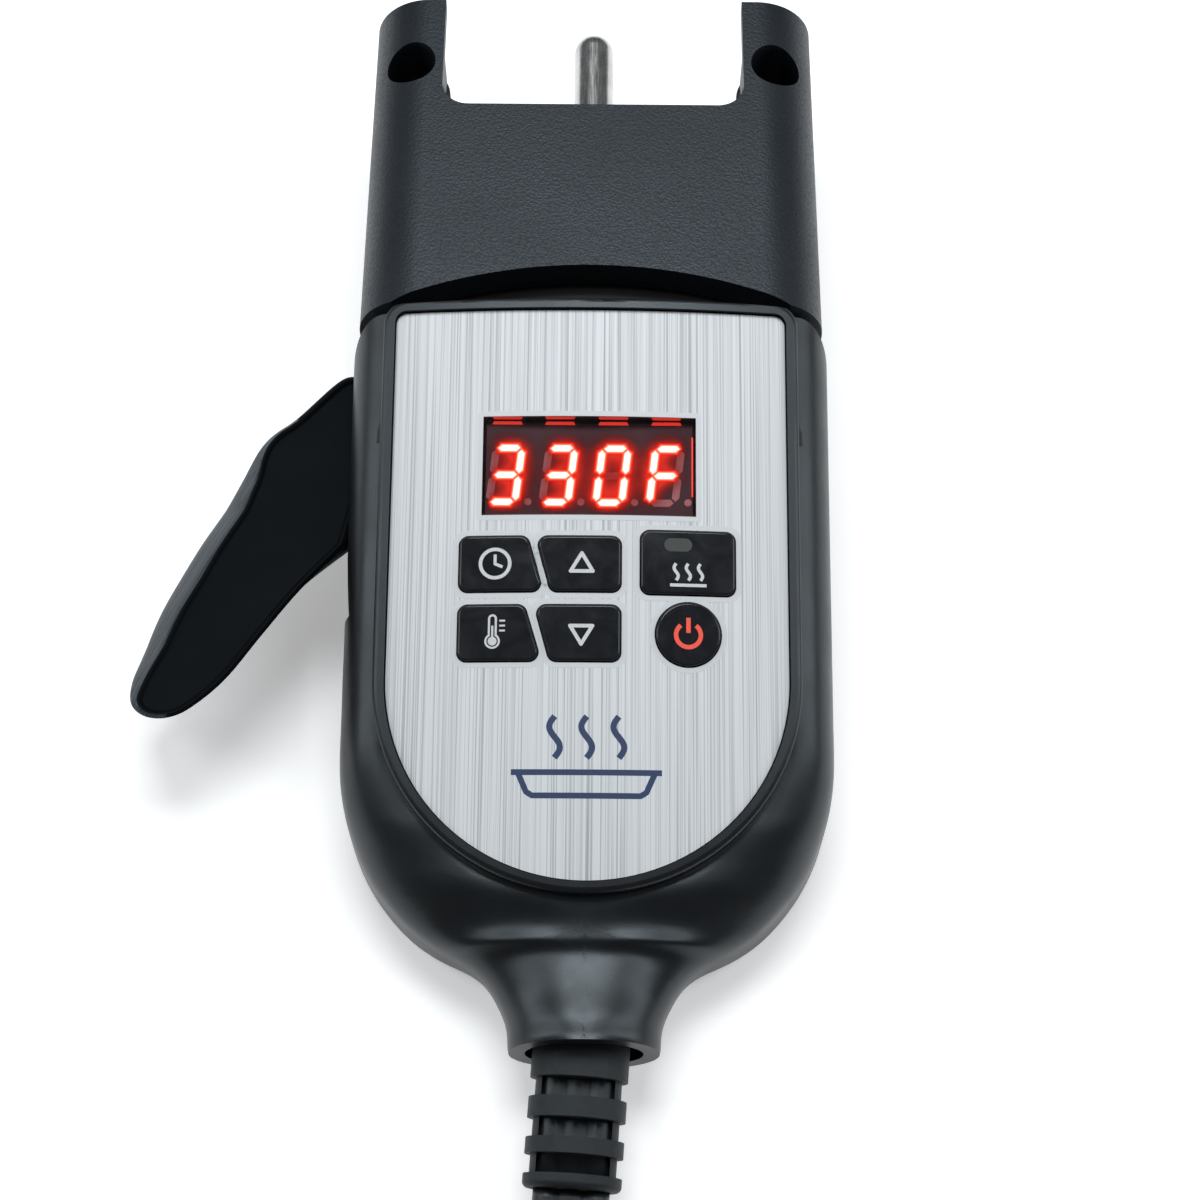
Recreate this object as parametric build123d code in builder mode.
from build123d import *
import math
import os

# A detachable digital heat controller for an electric griddle, with the guard that it docks in.
# Millimetres. +Z up, +Y towards the griddle, origin at the middle of the housing's flat underside.

os.makedirs("parts", exist_ok=True)

# ---------------------------------------------------------------- driving dimensions
HOUSING_WIDTH = 70.0
HOUSING_FRONT = 43.5
HOUSING_WALL = 2.2
HOUSING_CORNER = 4.5
PARTING_HEIGHT = 7.5

BOWL_START = -18.0
BOWL_CENTRE = 3.5
BOWL_RADIUS = 31.5
BOWL_END = -47.0

NECK_END = -59.0
NECK_HALF_WIDTH = 10.2
NECK_TOP = 17.4
NECK_BOTTOM = 1.4
NECK_FLARE = 0.038
SCOOP_START = -36.0
SCOOP_DEPTH = 1.5

FACE_SLOPE = 12.0
FACE_HEIGHT = 28.0
FACE_CROWN = 180.0
SHELL_DROP = 1.6

PANEL_HALF_WIDTH = 28.0
PANEL_TOP = 42.9
PANEL_ARC_CENTRE = -10.9
PANEL_CORNER = 1.5
PANEL_THICKNESS = 0.8
ADHESIVE_THICKNESS = 0.2
PANEL_GAP = 0.2
PANEL_LEDGE = 3.0
RIM_WIDTH = 1.9
RIM_HEIGHT = 0.8
RIM_DEPTH = 8.0

WINDOW_WIDTH = 30.0
WINDOW_HEIGHT = 14.4
WINDOW_CENTRE = 19.6
LENS_THICKNESS = 1.2
MODULE_TOP = 2.0

KEY_STAND = 0.55
KEY_CORNER = 1.25
KEY_CLEARANCE = 0.2
KEY_SKIRT = 0.35
KEY_SKIRT_TOP = 1.15
KEY_SKIRT_THICKNESS = 1.0
KEY_TRAVEL = 0.4
POWER_KEY_RADIUS = 4.5
STEM_RADIUS = 1.5

BOARD_TOP = 9.5
BOARD_THICKNESS = 1.6
SWITCH_SIZE = 6.0
SWITCH_HEIGHT = 5.0
SWITCH_BORE = 1.8

BOARD_HALF_WIDTH = 22.5
BOARD_HIGH = 29.0
BOARD_SCREWS = [(-20.3, -10.0), (20.3, -10.0), (-6.0, -28.8)]
BOARD_SCREW_RADIUS = 1.0
POWER_BOARD_BASE = 4.4
POWER_BOARD_TOP = 6.0
BLOCK_WIDTH = 4.8
BLOCK_DEPTH = 6.0
BLOCK_HEIGHT = 4.8
BLOCK_PLACES = [(15.9, -21.0), (15.9, 5.0)]

SCREW_PLACES = [(27.0, 31.0), (26.0, -20.0), (-26.0, -20.0)]
POST_RADIUS = 3.2
SCREW_RADIUS = 1.4
SCREW_HEAD_RADIUS = 2.9
SCREW_SEAT = 3.0

CARRIER_HALF_WIDTH = 27.0
CARRIER_LOW = 5.0
CARRIER_HIGH = 30.0
CARRIER_FLANGE = 39.2
CARRIER_BODY = 41.2
CARRIER_FRONT = 57.0
PIN_SPACING = 25.4
PIN_HEIGHT = 17.5
PIN_BORE = 4.8
SLEEVE_DIAMETER = 6.4
SLEEVE_START = 33.0
SLEEVE_END = 55.5
TAIL_LENGTH = 8.0
BARREL_START = 19.5
TERMINAL_LENGTH = 6.0

PROBE_RADIUS = 3.175
PROBE_SEAT = 3.0
PROBE_BORE = 2.6
PROBE_END = 108.0
PROBE_START = 34.0
COLLAR_LENGTH = 3.0

LEVER_PIVOT = (-28.0, 34.0)
LEVER_LOW = 8.0
LEVER_HIGH = 20.0
LEVER_SLOT = (0.8, 41.9)
LEVER_UNDERCUT = (-2.0, 5.9)
HUB_RADIUS = 4.4
PIVOT_RADIUS = 1.5
ARM_LENGTH = 12.5
ARM_WIDTH = 4.4
SPRING_POCKET = 14.0
EJECTOR_RADIUS = 2.5
EJECTOR_HEIGHT = 11.0
EJECTOR_START = 36.5
EJECTOR_LENGTH = 22.2

GUARD_WIDTH = 68.5
GUARD_TOP = 36.0
GUARD_BOTTOM = 2.0
GUARD_WALL = 2.4
GUARD_CORNER = 9.0
GUARD_FRONT = 44.3
GUARD_ARCH = 50.5
GUARD_ROOF_END = 79.8
GUARD_REAR = 100.0
GUARD_LIP = 5.0
BOLT_SPACING = 56.0
BOLT_PLACE = 88.0
BOLT_HOLE = 4.2

BOOT_LEAN = 3.5
BOOT_DROP = 5.0
BOOT_WIDTH = 13.2
BOOT_DEPTH = 9.0
BOOT_START = -52.0
BOOT_LENGTH = 24.8
BOOT_SLOTS = (10.4, 15.7, 20.4)
BOOT_SLOT_WIDTH = 2.6
BOOT_GROOVE_DEPTH = 0.8

CORD_WIDTH = 10.2
CORD_THICKNESS = 3.9
CORD_INSIDE = 8.0
LEAD_DIAMETER = 2.6
COIL_CENTRE = (-45.0, -152.0)
COIL_OUTER_TURN = 55.3
COIL_INNER_TURN = 46.7
PLUG_HEIGHT = 12.0
BLADE_SPACING = 12.7

# ---------------------------------------------------------------- frames of reference
slope = math.radians(FACE_SLOPE)
face_normal = Vector(0, -math.sin(slope), math.cos(slope))
face_along = Vector(0, math.cos(slope), math.sin(slope))
face = Plane(origin=(0, 0, FACE_HEIGHT), x_dir=(1, 0, 0), z_dir=face_normal)

lean = math.radians(BOOT_LEAN)
drop = math.radians(BOOT_DROP)
boot_axis = Vector(
    -math.sin(lean) * math.cos(drop), -math.cos(lean) * math.cos(drop), -math.sin(drop)
)
boot_across = Vector(math.cos(lean), -math.sin(lean), 0)
boot_plane = Plane(origin=(0, BOOT_START, 9.5), x_dir=boot_across, z_dir=boot_axis)


def finish(builder, name):
    """Label a finished piece and write it."""
    builder.part.label = name
    export_step(builder.part, f"parts/{name}.step")


# ---------------------------------------------------------------- the housing's form
def half_width(y):
    """Half the housing's width in plan."""
    if y >= BOWL_START:
        return HOUSING_WIDTH / 2
    if y >= BOWL_END:
        return BOWL_CENTRE + math.sqrt(BOWL_RADIUS**2 - (y - BOWL_START) ** 2)
    return NECK_HALF_WIDTH + NECK_FLARE * (y - NECK_END) ** 2


def top_height(y):
    """Height of the housing's top on its middle line."""
    on_face = FACE_HEIGHT + y * math.tan(slope) - SHELL_DROP / math.cos(slope)
    if y >= SCOOP_START:
        return on_face
    start = FACE_HEIGHT + SCOOP_START * math.tan(slope) - SHELL_DROP / math.cos(slope)
    along = (SCOOP_START - y) / (SCOOP_START - NECK_END)
    return start + (NECK_TOP - start) * along - SCOOP_DEPTH * math.sin(math.pi * along) ** 2


def neck_blend(y):
    """Zero in the body and one in the neck, with a smooth change between."""
    along = min(max((-41.0 - y) / 12.0, 0), 1)
    return along * along * (3 - 2 * along)


def rim_half_width(y):
    """Half the width that the raised rim covers."""
    below = PANEL_ARC_CENTRE - y / math.cos(slope)
    radius = PANEL_HALF_WIDTH + RIM_WIDTH
    if below <= 0:
        return radius
    return math.sqrt(max(radius**2 - below**2, 0))


def housing_section(y, inset):
    """One cross-section of the housing, drawn on the plane y."""
    side = half_width(y) - inset
    low = NECK_BOTTOM * neck_blend(y) + inset
    high = top_height(y) - inset
    height = high - low
    shoulder = min(max(half_width(y) - rim_half_width(y), 6.5), 0.93 * side)
    fall = min(8 + 0.35 * (shoulder - 6.5), 0.49 * height)
    foot = 3 + neck_blend(y) * (0.93 * side - 3)
    rise = 3 + neck_blend(y) * (0.49 * height - 3)
    flat = side - shoulder
    edge = high - flat**2 / (2 * FACE_CROWN)
    with BuildSketch(Plane.XZ.offset(-y)) as section:
        with BuildLine():
            Line((-side + foot, low), (side - foot, low))
            EllipticalCenterArc((side - foot, low + rise), foot, rise, -90, arc_size=90)
            Line((side, low + rise), (side, edge - fall))
            EllipticalCenterArc((flat, edge - fall), shoulder, fall, 0, arc_size=90)
            ThreePointArc((flat, edge), (0, high), (-flat, edge))
            EllipticalCenterArc((-flat, edge - fall), shoulder, fall, 90, arc_size=90)
            Line((-side, edge - fall), (-side, low + rise))
            EllipticalCenterArc((-side + foot, low + rise), foot, rise, 180, arc_size=90)
        make_face()
    return section.sketch


def housing_form(inset, front, rear):
    """The housing's outer form, or with an inset its hollow."""
    body_steps = 18
    neck_steps = 9
    stations = [front + (SCOOP_START - front) * step / body_steps for step in range(body_steps)]
    neck_step = (rear - SCOOP_START) / neck_steps
    stations += [SCOOP_START + neck_step * step for step in range(neck_steps + 1)]
    sections = [housing_section(y, inset) for y in stations]
    with BuildPart() as form:
        loft(sections)
    return form.part


def crown_block(height):
    """A block whose top is the face's crowned surface, raised by height."""
    crown_plane = Plane(origin=face.origin - face_along * 60, x_dir=(1, 0, 0), z_dir=face_along)
    with BuildPart() as block:
        with BuildSketch(crown_plane):
            with Locations((0, FACE_CROWN)):
                Circle(FACE_CROWN + height)
            with Locations((0, 10)):
                Rectangle(90, 60, mode=Mode.INTERSECT)
        extrude(amount=120)
    return block.part


def panel_outline(grow, plane):
    """The faceplate's outline, a straight top on a half round, grown by grow."""
    radius = PANEL_HALF_WIDTH + grow
    top = PANEL_TOP + grow
    with BuildSketch(plane) as outline:
        with BuildLine():
            Line((radius, PANEL_ARC_CENTRE), (radius, top))
            Line((radius, top), (-radius, top))
            Line((-radius, top), (-radius, PANEL_ARC_CENTRE))
            ThreePointArc(
                (-radius, PANEL_ARC_CENTRE), (0, PANEL_ARC_CENTRE - radius), (radius, PANEL_ARC_CENTRE)
            )
        make_face()
        fillet(outline.vertices().sort_by(Axis.Y)[-2:], max(PANEL_CORNER + grow, 0.4))
    return outline.sketch


# ---------------------------------------------------------------- upper and lower housing
outer_form = housing_form(0, HOUSING_FRONT, NECK_END)
inner_form = housing_form(HOUSING_WALL, HOUSING_FRONT - HOUSING_WALL, NECK_END)
rim_crown = crown_block(RIM_HEIGHT)
panel_crown = crown_block(0)
panel_back = crown_block(-PANEL_THICKNESS)
ledge_crown = crown_block(-PANEL_THICKNESS - ADHESIVE_THICKNESS)

with BuildPart() as rim_block:
    extrude(panel_outline(RIM_WIDTH, face.offset(-RIM_DEPTH)), amount=RIM_DEPTH + 6)
    add(rim_crown, mode=Mode.INTERSECT)
    fillet(rim_block.faces().sort_by(Axis.Z)[-1].edges(), 0.9)

with BuildPart() as panel_pocket:
    extrude(panel_outline(PANEL_GAP, face.offset(-6)), amount=14)
    add(ledge_crown, mode=Mode.SUBTRACT)

with BuildPart() as face_opening:
    extrude(panel_outline(-PANEL_LEDGE, face.offset(-RIM_DEPTH - 2)), amount=RIM_DEPTH + 8)

with BuildPart() as front_corners:
    with BuildSketch(Plane.XY) as front_plan:
        with Locations((0, (HOUSING_FRONT - 80) / 2)):
            Rectangle(HOUSING_WIDTH, HOUSING_FRONT + 80)
        fillet(front_plan.vertices().sort_by(Axis.Y)[-2:], HOUSING_CORNER)
    extrude(amount=60)

with BuildPart() as screw_posts:
    with BuildSketch(Plane.XY):
        with Locations(*SCREW_PLACES):
            Circle(POST_RADIUS)
    extrude(amount=40)
    add(outer_form, mode=Mode.INTERSECT)

# The boss that holds the top of the lever's pin.
with BuildPart() as pin_boss:
    with BuildSketch(Plane.XY.offset(LEVER_HIGH + 0.3)):
        with Locations(LEVER_PIVOT):
            Circle(3.6)
    extrude(amount=12)
    add(outer_form, mode=Mode.INTERSECT)

with BuildPart() as whole_housing:
    add(outer_form)
    add(rim_block.part)
    add(front_corners.part, mode=Mode.INTERSECT)
    add(inner_form, mode=Mode.SUBTRACT)
    add(screw_posts.part)
    add(panel_pocket.part, mode=Mode.SUBTRACT)
    add(face_opening.part, mode=Mode.SUBTRACT)
    # The front opening, where the contact carrier comes through.
    with BuildSketch(Plane.XZ.offset(-HOUSING_FRONT - 1)):
        with Locations((0, (CARRIER_LOW + CARRIER_HIGH) / 2)):
            RectangleRounded(2 * CARRIER_HALF_WIDTH + 0.2, CARRIER_HIGH - CARRIER_LOW + 0.2, 4)
    extrude(amount=6, mode=Mode.SUBTRACT)

with BuildPart() as upper_housing:
    add(whole_housing.part)
    add(pin_boss.part)
    split(bisect_by=Plane.XY.offset(PARTING_HEIGHT), keep=Keep.TOP)
    # The slot that the release lever swings in.
    with BuildSketch(Plane.XY.offset(PARTING_HEIGHT)):
        with Locations((-36, sum(LEVER_SLOT) / 2)):
            Rectangle(9, LEVER_SLOT[1] - LEVER_SLOT[0])
    extrude(amount=LEVER_HIGH - PARTING_HEIGHT + 0.5, mode=Mode.SUBTRACT)
    with BuildSketch(Plane.XY.offset(PARTING_HEIGHT)):
        with Locations(*SCREW_PLACES):
            Circle(SCREW_RADIUS)
    extrude(amount=8, mode=Mode.SUBTRACT)
    with BuildSketch(Plane.XY.offset(LEVER_HIGH)):
        with Locations(LEVER_PIVOT):
            Circle(PIVOT_RADIUS)
    extrude(amount=5, mode=Mode.SUBTRACT)
finish(upper_housing, "upper_housing")

# Upright posts that the control board is screwed to.
with BuildPart() as board_posts:
    with BuildSketch(Plane.XY.offset(1)):
        with Locations(*[(x, v * math.cos(slope)) for x, v in BOARD_SCREWS]):
            Circle(2.0)
    extrude(amount=40)
    split(bisect_by=face.offset(-BOARD_TOP - BOARD_THICKNESS), keep=Keep.BOTTOM)
    with BuildSketch(face.offset(-BOARD_TOP)):
        with Locations(*BOARD_SCREWS):
            Circle(BOARD_SCREW_RADIUS)
    extrude(amount=-6, mode=Mode.SUBTRACT)

with BuildPart() as lower_housing:
    add(whole_housing.part)
    split(bisect_by=Plane.XY.offset(PARTING_HEIGHT), keep=Keep.BOTTOM)
    add(board_posts.part)
    # Post under the lever, with the hole for its pin.
    with BuildSketch(Plane.XY.offset(1)):
        with Locations(LEVER_PIVOT):
            Circle(3.6)
    extrude(amount=PARTING_HEIGHT - 1 + 0.2)
    with BuildSketch(Plane.XY.offset(3)):
        with Locations(LEVER_PIVOT):
            Circle(PIVOT_RADIUS)
    extrude(amount=8, mode=Mode.SUBTRACT)
    with BuildSketch(Plane.XY):
        with Locations(*SCREW_PLACES):
            Circle(SCREW_RADIUS + 0.3)
    extrude(amount=10, mode=Mode.SUBTRACT)
    with BuildSketch(Plane.XY):
        with Locations(*SCREW_PLACES):
            Circle(SCREW_HEAD_RADIUS + 0.2)
    extrude(amount=SCREW_SEAT, mode=Mode.SUBTRACT)
finish(lower_housing, "lower_housing")

with BuildPart() as housing_screws:
    with BuildSketch(Plane.XY.offset(0.8)):
        with Locations(*SCREW_PLACES):
            Circle(SCREW_HEAD_RADIUS)
    extrude(amount=SCREW_SEAT - 0.8)
    with BuildSketch(Plane.XY.offset(SCREW_SEAT)):
        with Locations(*SCREW_PLACES):
            Circle(SCREW_RADIUS)
    extrude(amount=11)
    # The cross recess of each head.
    with BuildSketch(Plane.XY.offset(0.8)):
        with Locations(*SCREW_PLACES):
            Rectangle(3.2, 0.7)
            Rectangle(0.7, 3.2)
    extrude(amount=1.2, mode=Mode.SUBTRACT)
finish(housing_screws, "housing_screws")

# ---------------------------------------------------------------- faceplate and display
KEY_SHAPES = {
    "time_key": [(-18.0, 9.1), (-8.6, 9.1), (-6.3, 1.2), (-18.0, 1.2)],
    "up_key": [(-7.3, 9.1), (4.5, 9.1), (4.5, 1.2), (-5.2, 1.2)],
    "temp_key": [(-18.0, -0.8), (-8.9, -0.8), (-6.5, -8.7), (-18.0, -8.7)],
    "down_key": [(-7.4, -0.8), (4.5, -0.8), (4.5, -8.7), (-5.2, -8.7)],
    "warm_key": [(7.35, 10.05), (20.5, 10.05), (20.5, 0.95), (7.35, 0.95)],
}
POWER_KEY_CENTRE = (13.95, -4.75)
INDICATOR_CENTRE = (12.55, 8.0)
INDICATOR_SIZE = (3.9, 1.9)


def key_outline(name, grow, plane):
    """The outline of one key, grown by grow."""
    with BuildSketch(plane) as outline:
        if name == "power_key":
            with Locations(POWER_KEY_CENTRE):
                Circle(POWER_KEY_RADIUS + grow)
        else:
            with BuildLine():
                Polyline(*KEY_SHAPES[name], close=True)
            make_face()
            if grow:
                offset(amount=grow, kind=Kind.INTERSECTION)
            fillet(outline.vertices(), KEY_CORNER + max(grow, 0))
    return outline.sketch


KEY_NAMES = list(KEY_SHAPES) + ["power_key"]
key_holes = [key_outline(name, KEY_CLEARANCE, face.offset(-6)) for name in KEY_NAMES]

with BuildPart() as faceplate:
    extrude(panel_outline(0, face.offset(-6)), amount=12)
    add(panel_crown, mode=Mode.INTERSECT)
    add(panel_back, mode=Mode.SUBTRACT)
    with BuildSketch(face.offset(-6)):
        with Locations((0, WINDOW_CENTRE)):
            Rectangle(WINDOW_WIDTH + 0.2, WINDOW_HEIGHT + 0.2)
    extrude(amount=12, mode=Mode.SUBTRACT)
    for hole in key_holes:
        extrude(hole, amount=12, mode=Mode.SUBTRACT)
finish(faceplate, "faceplate")

with BuildPart() as faceplate_adhesive:
    extrude(panel_outline(0, face.offset(-6)), amount=12)
    extrude(panel_outline(-PANEL_LEDGE, face.offset(-7)), amount=14, mode=Mode.SUBTRACT)
    add(panel_back, mode=Mode.INTERSECT)
    add(ledge_crown, mode=Mode.SUBTRACT)
finish(faceplate_adhesive, "faceplate_adhesive")

lens_top = crown_block(0.05)
lens_back = crown_block(-LENS_THICKNESS)
with BuildPart() as display_window:
    with BuildSketch(face.offset(-5)):
        with Locations((0, WINDOW_CENTRE)):
            Rectangle(WINDOW_WIDTH, WINDOW_HEIGHT)
    extrude(amount=10)
    add(lens_top, mode=Mode.INTERSECT)
    add(lens_back, mode=Mode.SUBTRACT)
finish(display_window, "display_window")

with BuildPart() as display_module:
    with BuildSketch(face.offset(-BOARD_TOP + 0.3)):
        with Locations((0, WINDOW_CENTRE)):
            Rectangle(29.9, 14.2)
    extrude(amount=BOARD_TOP - 0.3 - MODULE_TOP)
    chamfer(display_module.faces().sort_by(Axis((0, 0, 0), face_normal))[-1].edges(), 0.3)
finish(display_module, "display_module")

with BuildPart() as display_pins:
    with BuildSketch(face.offset(-BOARD_TOP - BOARD_THICKNESS - 1.2)):
        for side in (-1, 1):
            with Locations((0, WINDOW_CENTRE + side * 5.1)):
                with GridLocations(2.54, 1, 6, 1):
                    Circle(0.25)
    extrude(amount=BOARD_THICKNESS + 1.5)
finish(display_pins, "display_pins")

# ---------------------------------------------------------------- keys and their switches
KEY_CENTRES = {
    "time_key": (-13.0, 5.1),
    "up_key": (-1.0, 5.1),
    "temp_key": (-13.0, -4.8),
    "down_key": (-1.0, -4.8),
    "warm_key": (13.95, 5.0),
    "power_key": POWER_KEY_CENTRE,
}
key_crown = crown_block(KEY_STAND)
skirt_crown = crown_block(-KEY_SKIRT_TOP)
skirt_back = crown_block(-KEY_SKIRT_TOP - KEY_SKIRT_THICKNESS)

for name in KEY_NAMES:
    with BuildPart() as key:
        extrude(key_outline(name, 0, face.offset(-5)), amount=10)
        add(key_crown, mode=Mode.INTERSECT)
        fillet(key.faces().sort_by(Axis((0, 0, 0), face_normal))[-1].edges(), 0.3)
        add(skirt_back, mode=Mode.SUBTRACT)
    with BuildPart() as skirt:
        extrude(key_outline(name, KEY_SKIRT, face.offset(-5)), amount=10)
        add(skirt_crown, mode=Mode.INTERSECT)
        add(skirt_back, mode=Mode.SUBTRACT)
    with BuildPart() as whole_key:
        add(key.part)
        add(skirt.part)
        with BuildSketch(face.offset(-SWITCH_HEIGHT - 0.3)):
            with Locations(KEY_CENTRES[name]):
                Circle(STEM_RADIUS)
        extrude(amount=SWITCH_HEIGHT - 1.5)
        if name == "warm_key":
            with BuildSketch(face.offset(-6)):
                with Locations(INDICATOR_CENTRE):
                    SlotOverall(INDICATOR_SIZE[0], INDICATOR_SIZE[1])
            extrude(amount=12, mode=Mode.SUBTRACT)
    finish(whole_key, name)

with BuildPart() as warm_indicator:
    with BuildSketch(face.offset(-3.4)):
        with Locations(INDICATOR_CENTRE):
            SlotOverall(INDICATOR_SIZE[0], INDICATOR_SIZE[1])
    extrude(amount=6)
    add(key_crown, mode=Mode.INTERSECT)
finish(warm_indicator, "warm_indicator")

with BuildPart() as key_switches:
    with BuildSketch(face.offset(-BOARD_TOP)):
        with Locations(*KEY_CENTRES.values()):
            Rectangle(SWITCH_SIZE, SWITCH_SIZE)
    extrude(amount=BOARD_TOP - SWITCH_HEIGHT)
    with BuildSketch(face.offset(-SWITCH_HEIGHT)):
        with Locations(*KEY_CENTRES.values()):
            Circle(SWITCH_BORE)
    extrude(amount=-2.0, mode=Mode.SUBTRACT)
finish(key_switches, "key_switches")

# ---------------------------------------------------------------- circuit boards
with BuildPart() as control_board:
    with BuildSketch(face.offset(-BOARD_TOP - BOARD_THICKNESS)) as board_plan:
        with BuildLine():
            Line((BOARD_HALF_WIDTH, PANEL_ARC_CENTRE), (BOARD_HALF_WIDTH, BOARD_HIGH))
            Line((BOARD_HALF_WIDTH, BOARD_HIGH), (-BOARD_HALF_WIDTH, BOARD_HIGH))
            Line((-BOARD_HALF_WIDTH, BOARD_HIGH), (-BOARD_HALF_WIDTH, PANEL_ARC_CENTRE))
            ThreePointArc(
                (-BOARD_HALF_WIDTH, PANEL_ARC_CENTRE),
                (0, PANEL_ARC_CENTRE - BOARD_HALF_WIDTH),
                (BOARD_HALF_WIDTH, PANEL_ARC_CENTRE),
            )
        make_face()
        with Locations(*BOARD_SCREWS):
            Circle(BOARD_SCREW_RADIUS + 0.1, mode=Mode.SUBTRACT)
    extrude(amount=BOARD_THICKNESS)
    with BuildSketch(face.offset(-BOARD_TOP)):
        for side in (-1, 1):
            with Locations((0, WINDOW_CENTRE + side * 5.1)):
                with GridLocations(2.54, 1, 6, 1):
                    Circle(0.3)
    extrude(amount=-BOARD_THICKNESS, mode=Mode.SUBTRACT)
finish(control_board, "control_board")

with BuildPart() as board_screws:
    with BuildSketch(face.offset(-BOARD_TOP)):
        with Locations(*BOARD_SCREWS):
            Circle(2.0)
    extrude(amount=1.3)
    with BuildSketch(face.offset(-BOARD_TOP - 4)):
        with Locations(*BOARD_SCREWS):
            Circle(BOARD_SCREW_RADIUS)
    extrude(amount=4)
finish(board_screws, "board_screws")

with BuildPart() as controller_chip:
    with BuildSketch(face.offset(-BOARD_TOP)):
        with Locations((0, -18)):
            Rectangle(7.6, 10.4)
    extrude(amount=1.9)
    chamfer(controller_chip.faces().sort_by(Axis((0, 0, 0), face_normal))[-1].edges(), 0.2)
finish(controller_chip, "controller_chip")

with BuildPart() as power_board:
    with BuildSketch(Plane.XY.offset(POWER_BOARD_BASE)):
        with Locations((0.3, -1)):
            Rectangle(35.4, 50)
    extrude(amount=POWER_BOARD_TOP - POWER_BOARD_BASE)
finish(power_board, "power_board")

with BuildPart() as relay:
    with BuildSketch(Plane.XY.offset(POWER_BOARD_TOP)):
        with Locations((8, 12)):
            RectangleRounded(10.2, 20, 0.6)
    extrude(amount=9.6)
    fillet(relay.faces().sort_by(Axis.Z)[-1].edges(), 0.5)
finish(relay, "relay")

with BuildPart() as supply_capacitor:
    with BuildSketch(Plane.YZ.offset(-16)):
        with Locations((-12, POWER_BOARD_TOP + 4)):
            Circle(4)
    extrude(amount=13)
    chamfer(supply_capacitor.faces().sort_by(Axis.X)[-1].edges(), 0.5)
finish(supply_capacitor, "supply_capacitor")

with BuildPart() as film_capacitor:
    with BuildSketch(Plane.XY.offset(POWER_BOARD_TOP)):
        with Locations((-7.5, 13)):
            RectangleRounded(7, 18, 0.8)
    extrude(amount=9.5)
    fillet(film_capacitor.faces().sort_by(Axis.Z)[-1].edges(), 0.6)
finish(film_capacitor, "film_capacitor")

with BuildPart() as fuse:
    with BuildSketch(Plane.YZ.offset(6)):
        with Locations((-12, POWER_BOARD_TOP + 2)):
            Circle(2)
    extrude(amount=10)
finish(fuse, "fuse")

with BuildPart() as terminal_blocks:
    with BuildSketch(Plane.XY.offset(POWER_BOARD_TOP)):
        with Locations(*BLOCK_PLACES):
            Rectangle(BLOCK_WIDTH, BLOCK_DEPTH)
    extrude(amount=BLOCK_HEIGHT)
    with BuildSketch(Plane.XY.offset(POWER_BOARD_TOP + BLOCK_HEIGHT)):
        with Locations(*BLOCK_PLACES):
            Circle(1.5)
    extrude(amount=-1.5, mode=Mode.SUBTRACT)
finish(terminal_blocks, "terminal_blocks")

# ---------------------------------------------------------------- contacts and probe
PINS = [(-PIN_SPACING / 2, PIN_HEIGHT), (PIN_SPACING / 2, PIN_HEIGHT)]

with BuildPart() as contact_carrier:
    with BuildSketch(Plane.XZ.offset(-CARRIER_FLANGE)):
        with Locations((0, (CARRIER_LOW + CARRIER_HIGH) / 2)):
            RectangleRounded(2 * CARRIER_HALF_WIDTH + 1.4, CARRIER_HIGH - CARRIER_LOW + 1.2, 4)
    extrude(amount=-(CARRIER_BODY - CARRIER_FLANGE))
    with BuildSketch(Plane.XZ.offset(-CARRIER_BODY)):
        with Locations((0, (CARRIER_LOW + CARRIER_HIGH) / 2)):
            RectangleRounded(2 * CARRIER_HALF_WIDTH, CARRIER_HIGH - CARRIER_LOW, 4)
    extrude(amount=-(CARRIER_FRONT - CARRIER_BODY))
    fillet(contact_carrier.faces().sort_by(Axis.Y)[-1].edges(), 1.2)
    with BuildSketch(Plane.XZ.offset(-30)):
        with Locations(*PINS):
            Circle(SLEEVE_DIAMETER / 2)
        with Locations((0, PIN_HEIGHT)):
            Circle(PROBE_SEAT)
        with Locations((LEVER_PIVOT[0] + ARM_LENGTH, EJECTOR_HEIGHT)):
            Circle(EJECTOR_RADIUS + 0.1)
    extrude(amount=-40, mode=Mode.SUBTRACT)
    # The recess around each contact, so that a live part cannot be touched.
    with BuildSketch(Plane.XZ.offset(-SLEEVE_END)):
        with Locations(*PINS):
            Circle(3.9)
    extrude(amount=-5, mode=Mode.SUBTRACT)
finish(contact_carrier, "contact_carrier")

for name, place in zip(("live_contact", "neutral_contact"), PINS):
    with BuildPart() as contact:
        with BuildSketch(Plane.XZ.offset(-SLEEVE_START)):
            with Locations(place):
                Circle(SLEEVE_DIAMETER / 2)
        extrude(amount=-(SLEEVE_END - SLEEVE_START))
        with BuildSketch(Plane.XZ.offset(-SLEEVE_END)):
            with Locations(place):
                Circle(PIN_BORE / 2)
        extrude(amount=SLEEVE_END - SLEEVE_START - 2, mode=Mode.SUBTRACT)
        # The flat tail that the lead's terminal pushes on to.
        with BuildSketch(Plane.XZ.offset(-SLEEVE_START)):
            with Locations(place):
                Rectangle(6.3, 0.8)
        extrude(amount=TAIL_LENGTH)
    finish(contact, name)

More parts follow.
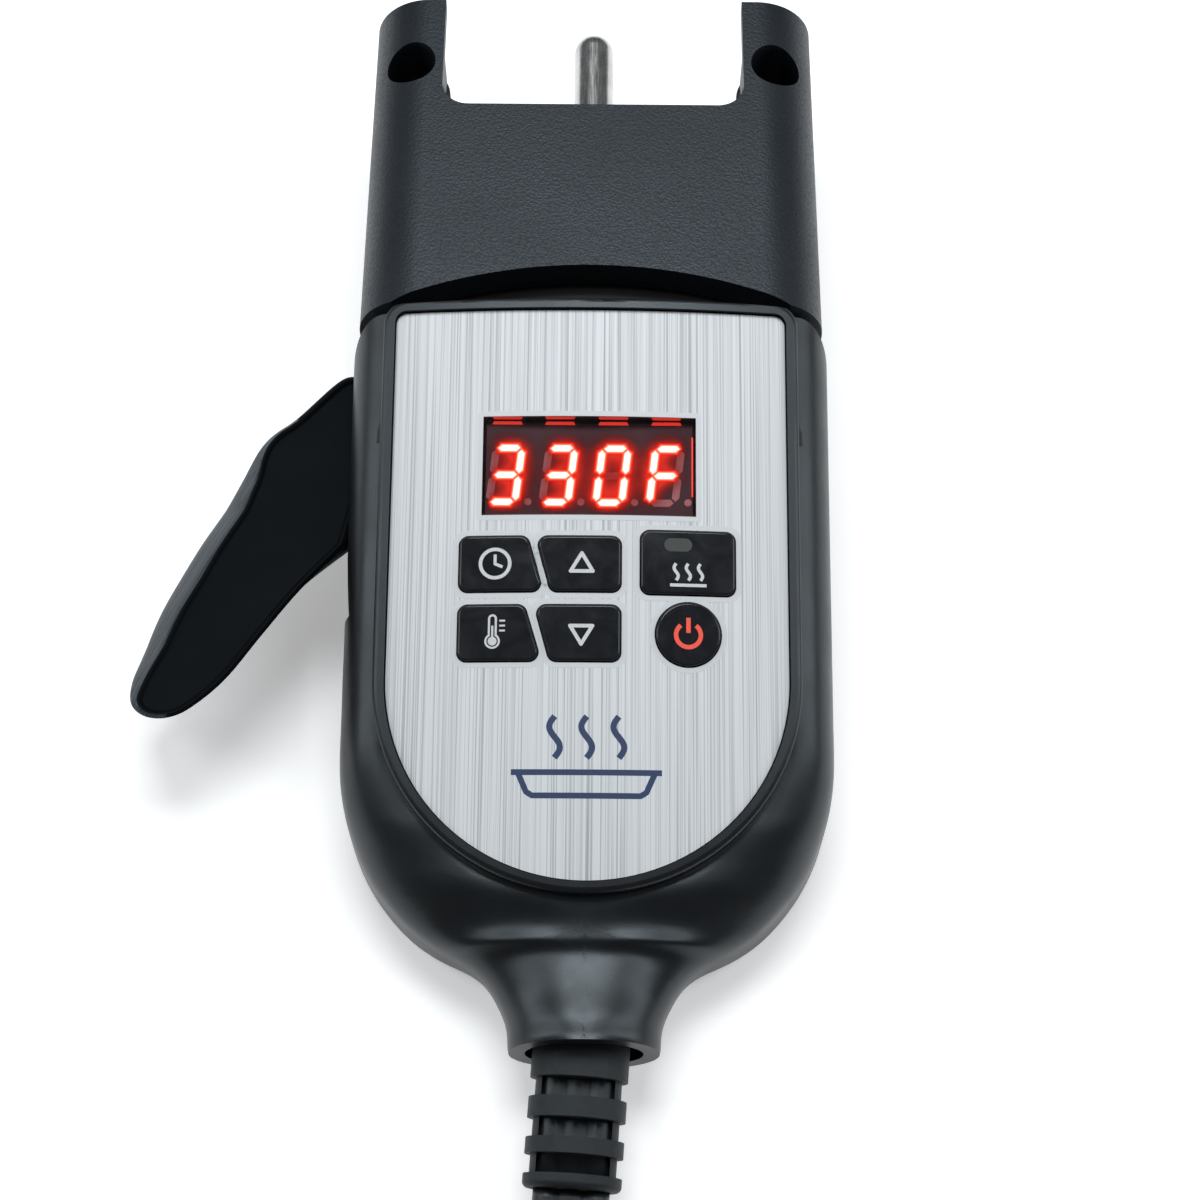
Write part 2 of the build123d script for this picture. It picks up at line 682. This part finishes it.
with BuildPart() as lead_terminals:
    with BuildSketch(Plane.XZ.offset(-SLEEVE_START + TAIL_LENGTH)):
        with Locations(*PINS):
            Rectangle(7.4, 2.6)
            Rectangle(6.3, 0.8, mode=Mode.SUBTRACT)
    extrude(amount=-TERMINAL_LENGTH)
    with BuildSketch(Plane.XZ.offset(-BARREL_START)):
        with Locations(*PINS):
            Circle(1.9)
    extrude(amount=-(SLEEVE_START - TAIL_LENGTH - BARREL_START))
    with BuildSketch(Plane.XZ.offset(-BARREL_START)):
        with Locations(*PINS):
            Circle(LEAD_DIAMETER / 2)
    extrude(amount=-(SLEEVE_START - TAIL_LENGTH - BARREL_START - 0.4), mode=Mode.SUBTRACT)
finish(lead_terminals, "lead_terminals")

with BuildPart() as probe_tube:
    with BuildSketch(Plane.YZ) as probe_profile:
        with BuildLine():
            Polyline(
                (PROBE_START, PIN_HEIGHT + PROBE_BORE),
                (PROBE_START, PIN_HEIGHT + PROBE_SEAT),
                (CARRIER_FRONT + COLLAR_LENGTH, PIN_HEIGHT + PROBE_SEAT),
                (CARRIER_FRONT + COLLAR_LENGTH, PIN_HEIGHT + PROBE_RADIUS),
                (PROBE_END - PROBE_RADIUS, PIN_HEIGHT + PROBE_RADIUS),
            )
            RadiusArc(
                (PROBE_END - PROBE_RADIUS, PIN_HEIGHT + PROBE_RADIUS), (PROBE_END, PIN_HEIGHT), PROBE_RADIUS
            )
            Polyline(
                (PROBE_END, PIN_HEIGHT),
                (PROBE_END - 2, PIN_HEIGHT),
                (PROBE_END - 2, PIN_HEIGHT + PROBE_BORE),
                (PROBE_START, PIN_HEIGHT + PROBE_BORE),
            )
        make_face()
    revolve(axis=Axis((0, 0, PIN_HEIGHT), (0, 1, 0)))
finish(probe_tube, "probe_tube")

with BuildPart() as probe_collar:
    with BuildSketch(Plane.XZ.offset(-CARRIER_FRONT)):
        with Locations((0, PIN_HEIGHT)):
            RegularPolygon(5.2, 6)
            Circle(PROBE_SEAT, mode=Mode.SUBTRACT)
    extrude(amount=-COLLAR_LENGTH)
finish(probe_collar, "probe_collar")

with BuildPart() as probe_thermistor:
    with BuildSketch(Plane.XZ.offset(-99)):
        with Locations((0, PIN_HEIGHT)):
            Circle(1.4)
    extrude(amount=-6)
    fillet(probe_thermistor.edges(), 0.8)
finish(probe_thermistor, "probe_thermistor")

with BuildPart() as probe_leads:
    with BuildSketch(Plane.XZ.offset(-PROBE_START + 2)):
        for side in (-1, 1):
            with Locations((side * 0.75, PIN_HEIGHT)):
                Circle(0.5)
    extrude(amount=-(99 - PROBE_START + 2))
finish(probe_leads, "probe_leads")

with BuildPart() as earth_clip:
    with BuildSketch(Plane.XZ.offset(-35)):
        with Locations((0, PIN_HEIGHT)):
            Circle(PROBE_SEAT + 0.6)
        with Locations((0, PIN_HEIGHT - 6.2)):
            Rectangle(4.8, 6)
        with Locations((0, PIN_HEIGHT)):
            Circle(PROBE_SEAT, mode=Mode.SUBTRACT)
    extrude(amount=-4)
finish(earth_clip, "earth_clip")

# ---------------------------------------------------------------- release lever and ejector
LEVER_OUTER_EDGE = [
    (-34.2, 40.2),
    (-38.6, 39.4),
    (-44.0, 33.6),
    (-48.4, 28.6),
    (-53.7, 19.7),
    (-57.3, 13.0),
    (-61.4, 3.4),
    (-63.8, -6.0),
]
LEVER_INNER_EDGE = [
    (-64.3, -10.6),
    (-63.5, -13.3),
    (-61.4, -14.8),
    (-58.5, -14.9),
    (-55.4, -13.4),
    (-50.9, -9.0),
    (-46.2, -2.0),
    (-41.3, 5.1),
    (-35.3, 12.4),
]
LEVER_ROOT = [(-31.6, 31.0), (-31.5, 37.0)]


def lever_outline(height, undercut):
    """The lever in plan; the undercut moves its tip and inner edge."""
    inner = [(x + undercut[0], y + undercut[1]) for x, y in LEVER_INNER_EDGE[1:-1]]
    corner = (LEVER_INNER_EDGE[0][0], LEVER_INNER_EDGE[0][1] + undercut[1])
    root = (LEVER_INNER_EDGE[-1][0], LEVER_INNER_EDGE[-1][1] + undercut[1])
    with BuildSketch(Plane.XY.offset(height)) as outline:
        with BuildLine():
            Spline(*LEVER_OUTER_EDGE, corner, *inner, root)
            Line(root, LEVER_ROOT[0])
            Line(LEVER_ROOT[0], LEVER_ROOT[1])
            Line(LEVER_ROOT[1], LEVER_OUTER_EDGE[0])
        make_face()
    return outline.sketch


with BuildPart() as release_lever:
    loft([lever_outline(LEVER_LOW, LEVER_UNDERCUT), lever_outline(LEVER_HIGH, (0, 0))])
    with BuildSketch(Plane.XY.offset(LEVER_LOW)):
        with Locations(LEVER_PIVOT):
            Circle(HUB_RADIUS)
    extrude(amount=LEVER_HIGH - LEVER_LOW)
    # The inner arm, with the rounded tip that pushes the ejector.
    with BuildSketch(Plane.XY.offset(LEVER_LOW + 0.5)):
        with Locations((LEVER_PIVOT[0] + ARM_LENGTH / 2, LEVER_PIVOT[1])):
            SlotCenterToCenter(ARM_LENGTH, ARM_WIDTH)
    extrude(amount=5)
    with BuildSketch(Plane.XY.offset(LEVER_LOW)):
        with Locations(LEVER_PIVOT):
            Circle(PIVOT_RADIUS + 0.05)
    extrude(amount=LEVER_HIGH - LEVER_LOW, mode=Mode.SUBTRACT)
    # The pocket around the pin that holds the return spring.
    with BuildSketch(Plane.XY.offset(SPRING_POCKET)):
        with Locations(LEVER_PIVOT):
            Circle(3.5)
    extrude(amount=LEVER_HIGH - SPRING_POCKET, mode=Mode.SUBTRACT)
finish(release_lever, "release_lever")

with BuildPart() as lever_pin:
    with BuildSketch(Plane.XY.offset(3.2)):
        with Locations(LEVER_PIVOT):
            Circle(PIVOT_RADIUS)
    extrude(amount=21)
    chamfer(lever_pin.edges().filter_by(GeomType.CIRCLE), 0.2)
finish(lever_pin, "lever_pin")

with BuildPart() as lever_spring:
    with BuildSketch(Plane.XY.offset(SPRING_POCKET + 0.4)):
        with Locations(LEVER_PIVOT):
            Circle(3.1)
            Circle(1.9, mode=Mode.SUBTRACT)
    extrude(amount=5.0)
finish(lever_spring, "lever_spring")

ejector_place = (LEVER_PIVOT[0] + ARM_LENGTH, EJECTOR_HEIGHT)
with BuildPart() as ejector_plunger:
    with BuildSketch(Plane.XZ.offset(-EJECTOR_START)):
        with Locations(ejector_place):
            Circle(EJECTOR_RADIUS)
    extrude(amount=-EJECTOR_LENGTH)
    fillet(ejector_plunger.faces().sort_by(Axis.Y)[-1].edges(), 0.6)
finish(ejector_plunger, "ejector_plunger")

# ---------------------------------------------------------------- socket guard
with BuildPart() as guard_outside:
    with BuildSketch(Plane.XZ.offset(-GUARD_FRONT)) as guard_section:
        with Locations((0, (GUARD_TOP + GUARD_BOTTOM) / 2)):
            Rectangle(GUARD_WIDTH, GUARD_TOP - GUARD_BOTTOM)
        fillet(guard_section.vertices().sort_by(Axis.Y)[-2:], GUARD_CORNER)
    extrude(amount=-(GUARD_REAR - GUARD_FRONT))
    # The arched front edge, set back in the middle.
    with BuildSketch(Plane.XY):
        with BuildLine():
            ThreePointArc((-29, GUARD_FRONT), (0, GUARD_ARCH), (29, GUARD_FRONT))
            Line((29, GUARD_FRONT), (-29, GUARD_FRONT))
        make_face()
    extrude(amount=50, mode=Mode.SUBTRACT)

with BuildPart() as guard_inside:
    with BuildSketch(Plane.XZ.offset(-GUARD_FRONT)) as hollow_section:
        with Locations((0, (GUARD_TOP - GUARD_WALL) / 2 - 5)):
            Rectangle(GUARD_WIDTH - 2 * GUARD_WALL, GUARD_TOP - GUARD_WALL + 10)
        fillet(hollow_section.vertices().sort_by(Axis.Y)[-2:], GUARD_CORNER - GUARD_WALL)
    extrude(amount=-(GUARD_REAR - GUARD_FRONT))
    with BuildSketch(Plane.XY.offset(GUARD_TOP - GUARD_LIP)):
        with BuildLine():
            lip_left = (-34, GUARD_FRONT + GUARD_WALL - 2.5)
            lip_right = (34, GUARD_FRONT + GUARD_WALL - 2.5)
            ThreePointArc(lip_left, (0, GUARD_ARCH + GUARD_WALL), lip_right)
            Polyline(lip_right, (34, 40), (-34, 40), lip_left)
        make_face()
    extrude(amount=10, mode=Mode.SUBTRACT)

with BuildPart() as socket_guard:
    add(guard_outside.part)
    add(guard_inside.part, mode=Mode.SUBTRACT)
    # Screw bosses inside the rear corners.
    with BuildSketch(Plane.XY.offset(10)):
        with Locations((-BOLT_SPACING / 2, BOLT_PLACE), (BOLT_SPACING / 2, BOLT_PLACE)):
            Circle(5.6)
    extrude(amount=GUARD_TOP - GUARD_WALL - 10 + 0.4)
    add(guard_outside.part, mode=Mode.INTERSECT)
    # The roof stops short of the rear, between the two strips over the side walls.
    with BuildSketch(Plane.XY.offset(GUARD_TOP - GUARD_WALL - 6)) as roof_cut:
        with Locations((0, (GUARD_ROOF_END + GUARD_REAR + 10) / 2)):
            Rectangle(46, GUARD_REAR + 10 - GUARD_ROOF_END)
        fillet(roof_cut.vertices().sort_by(Axis.Y)[:2], 4)
    extrude(amount=20, mode=Mode.SUBTRACT)
    with BuildSketch(Plane.XY.offset(20)):
        with Locations((-BOLT_SPACING / 2, BOLT_PLACE), (BOLT_SPACING / 2, BOLT_PLACE)):
            Circle(3.8)
    extrude(amount=30, mode=Mode.SUBTRACT)
    with BuildSketch(Plane.XY):
        with Locations((-BOLT_SPACING / 2, BOLT_PLACE), (BOLT_SPACING / 2, BOLT_PLACE)):
            Circle(BOLT_HOLE / 2)
    extrude(amount=40, mode=Mode.SUBTRACT)
finish(socket_guard, "socket_guard")

# ---------------------------------------------------------------- strain relief and cord
with BuildPart() as strain_relief:
    with BuildSketch(boot_plane):
        Ellipse(BOOT_WIDTH / 2, BOOT_DEPTH / 2)
    extrude(amount=BOOT_LENGTH)
    fillet(strain_relief.faces().sort_by(Axis.Y)[0].edges(), 0.8)
    # The flange that the two halves of the housing trap.
    with BuildSketch(boot_plane):
        Ellipse(BOOT_WIDTH / 2 + 0.9, BOOT_DEPTH / 2 + 0.4)
    extrude(amount=2.4)
    with BuildSketch(boot_plane.offset(-1)):
        RectangleRounded(CORD_WIDTH + 0.2, CORD_THICKNESS + 0.2, 1.9)
    extrude(amount=BOOT_LENGTH + 2, mode=Mode.SUBTRACT)
    # Each groove runs all round, with a window over the cord above and below.
    for start in BOOT_SLOTS:
        with BuildSketch(boot_plane.offset(start)):
            Ellipse(BOOT_WIDTH / 2 + 1, BOOT_DEPTH / 2 + 1)
            Ellipse(
                BOOT_WIDTH / 2 - BOOT_GROOVE_DEPTH, BOOT_DEPTH / 2 - BOOT_GROOVE_DEPTH, mode=Mode.SUBTRACT
            )
            Rectangle(CORD_WIDTH - 0.4, BOOT_DEPTH + 2)
        extrude(amount=BOOT_SLOT_WIDTH, mode=Mode.SUBTRACT)
finish(strain_relief, "strain_relief")


def cord_profile(plane):
    """The flat cord's section, three cores side by side."""
    with BuildSketch(plane) as profile:
        RectangleRounded(CORD_WIDTH, CORD_THICKNESS, 1.9)
    return profile.sketch


with BuildPart() as held_cord:
    extrude(cord_profile(boot_plane.offset(-CORD_INSIDE)), amount=CORD_INSIDE + BOOT_LENGTH)
finish(held_cord, "held_cord")

with BuildPart() as cord_clamp:
    with BuildSketch(boot_plane.offset(-6)):
        with Locations((0, -CORD_THICKNESS / 2 - 1.0)):
            Rectangle(11.6, 1.8)
    extrude(amount=3.5)
    with BuildSketch(boot_plane.offset(-6)):
        with Locations((0, CORD_THICKNESS / 2 + 1.0)):
            Rectangle(11.6, 1.8)
    extrude(amount=3.5)
finish(cord_clamp, "cord_clamp")


def tube_route(points):
    """Bend radii that make smooth arcs, one for each corner of a route."""
    places = [Vector(*point) for point in points]
    radii = []
    for before, corner, after in zip(places, places[1:], places[2:]):
        run_in = corner - before
        run_out = after - corner
        turn = math.radians(run_in.get_angle(run_out))
        radii.append(0.45 * min(run_in.length, run_out.length) / math.tan(turn / 2))
    return radii


def cord_tube(points, width, thickness, up):
    """A flat or round tube along a route of straight runs and tangent arcs."""
    radii = tube_route(points)
    with BuildLine() as path:
        FilletPolyline(*points, radius=radii)
    start = Vector(*points[0])
    direction = Vector(*points[1]) - start
    across = direction.cross(Vector(*up))
    with BuildPart() as tube:
        with BuildSketch(Plane(origin=start, x_dir=across, z_dir=direction)):
            if width == thickness:
                Circle(width / 2)
            else:
                RectangleRounded(width, thickness, thickness / 2 - 0.05)
        sweep(path=path.wire(), transition=Transition.RIGHT)
    return tube.part, radii, path.wire().length


CORD_ROUTE = [
    (-1.51, -76.66, 7.34),
    (-2.42, -91.6, 6.03),
    (1.5, -118.0, 5.2),
    (10.0, -146.0, 5.3),
]
TAIL_ROUTE = [
    (-3.5, -150.0, 11.5),
    (-3.1, -166.0, 13.9),
    (-1.5, -187.0, 14.0),
    (-0.1, -207.0, 12.0),
]
supply_tube, supply_radii, supply_length = cord_tube(CORD_ROUTE, CORD_WIDTH, CORD_THICKNESS, (0, 0, 1))
with BuildPart() as supply_cord:
    add(supply_tube)
finish(supply_cord, "supply_cord")
print("supply cord radii", [round(value) for value in supply_radii], "length", round(supply_length, 1))

tail_tube, tail_radii, tail_length = cord_tube(TAIL_ROUTE, CORD_WIDTH, CORD_THICKNESS, (0, 0, 1))
with BuildPart() as cord_tail:
    add(tail_tube)
finish(cord_tail, "cord_tail")
print("cord tail radii", [round(value) for value in tail_radii], "length", round(tail_length, 1))

with BuildPart() as cord_coil:
    with BuildSketch(Plane.XY):
        with Locations(COIL_CENTRE):
            Circle(COIL_OUTER_TURN + CORD_THICKNESS / 2)
            Circle(COIL_INNER_TURN - CORD_THICKNESS / 2, mode=Mode.SUBTRACT)
    extrude(amount=CORD_WIDTH)
finish(cord_coil, "cord_coil")
print("coil length, two turns", round(2 * math.pi * (COIL_OUTER_TURN + COIL_INNER_TURN), 1))

with BuildPart() as cord_tie:
    with BuildSketch(Plane.XZ.offset(152 - 4)):
        with Locations((COIL_CENTRE[0] - (COIL_OUTER_TURN + COIL_INNER_TURN) / 2, 5.4)):
            RectangleRounded(13.8, 10.8, 1)
            RectangleRounded(13.0, 10.2, 0.8, mode=Mode.SUBTRACT)
    extrude(amount=8)
finish(cord_tie, "cord_tie")

# ---------------------------------------------------------------- grounded plug
plug_start = Vector(*TAIL_ROUTE[-1])
plug_axis = (plug_start - Vector(*TAIL_ROUTE[-2])).normalized()
plug_axis = Vector(plug_axis.X, plug_axis.Y, 0).normalized()
plug_plane = Plane(origin=(plug_start.X, plug_start.Y, PLUG_HEIGHT), x_dir=(1, 0, 0), z_dir=plug_axis)

with BuildPart() as plug_body:
    with BuildSketch(plug_plane.offset(-1)):
        Ellipse(7.0, 4.6)
    with BuildSketch(plug_plane.offset(13)):
        Ellipse(8.0, 6.6)
    loft()
    with BuildSketch(plug_plane.offset(13)) as plug_face:
        RectangleRounded(26, 24, 8)
    extrude(amount=19)
    fillet(plug_body.faces().sort_by(Axis.Y)[0].edges(), 1.5)
finish(plug_body, "plug_body")

with BuildPart() as plug_blades:
    with BuildSketch(plug_plane.offset(32)):
        with Locations((-BLADE_SPACING / 2, 3.0), (BLADE_SPACING / 2, 3.0)):
            Rectangle(1.5, 6.3)
    extrude(amount=17.9)
    chamfer(plug_blades.faces().sort_by(Axis.Y)[:2].edges(), 0.4)
finish(plug_blades, "plug_blades")

with BuildPart() as plug_earth_pin:
    with BuildSketch(plug_plane.offset(32)):
        with Locations((0, -8.9)):
            Circle(2.4)
    extrude(amount=20.5)
    fillet(plug_earth_pin.faces().sort_by(Axis.Y)[0].edges(), 1.6)
finish(plug_earth_pin, "plug_earth_pin")

# ---------------------------------------------------------------- leads inside the housing
cord_mouth = boot_plane.origin - boot_axis * CORD_INSIDE
LEADS = {
    "live_lead": [
        (cord_mouth.X - 3.2, cord_mouth.Y, cord_mouth.Z),
        (-6.0, -36.0, 8.4),
        (-15.0, -26.0, 8.6),
        (-24.6, -12.0, 9.0),
        (-24.4, 4.0, 10.4),
        (-18.4, 13.0, 15.2),
        (-12.7, 18.0, PIN_HEIGHT),
        (-12.7, SLEEVE_START - TAIL_LENGTH - 0.4, PIN_HEIGHT),
    ],
    "neutral_lead": [
        (cord_mouth.X + 3.2, cord_mouth.Y, cord_mouth.Z),
        (6.4, -37.0, 8.6),
        (11.6, -32.4, 8.7),
        (15.8, -29.0, 9.0),
        (15.9, -24.0, 9.0),
    ],
    "load_lead": [
        (15.9, 8.0, 9.0),
        (16.1, 12.4, 10.4),
        (15.4, 15.6, 15.8),
        (12.7, 19.0, PIN_HEIGHT),
        (12.7, SLEEVE_START - TAIL_LENGTH - 0.4, PIN_HEIGHT),
    ],
    "earth_lead": [
        (cord_mouth.X, cord_mouth.Y, cord_mouth.Z),
        (0.7, -34.0, 8.6),
        (1.6, -20.0, 9.2),
        (0.7, -4.0, 9.4),
        (-0.6, 10.0, 9.6),
        (-0.5, 24.0, 10.0),
        (0.6, 35.0, 11.0),
    ],
}
for name, route in LEADS.items():
    lead_tube, lead_radii, lead_length = cord_tube(route, LEAD_DIAMETER, LEAD_DIAMETER, (0, 0, 1))
    with BuildPart() as lead:
        add(lead_tube)
    finish(lead, name)
    print(name, "radii", [round(value, 1) for value in lead_radii], "length", round(lead_length, 1))
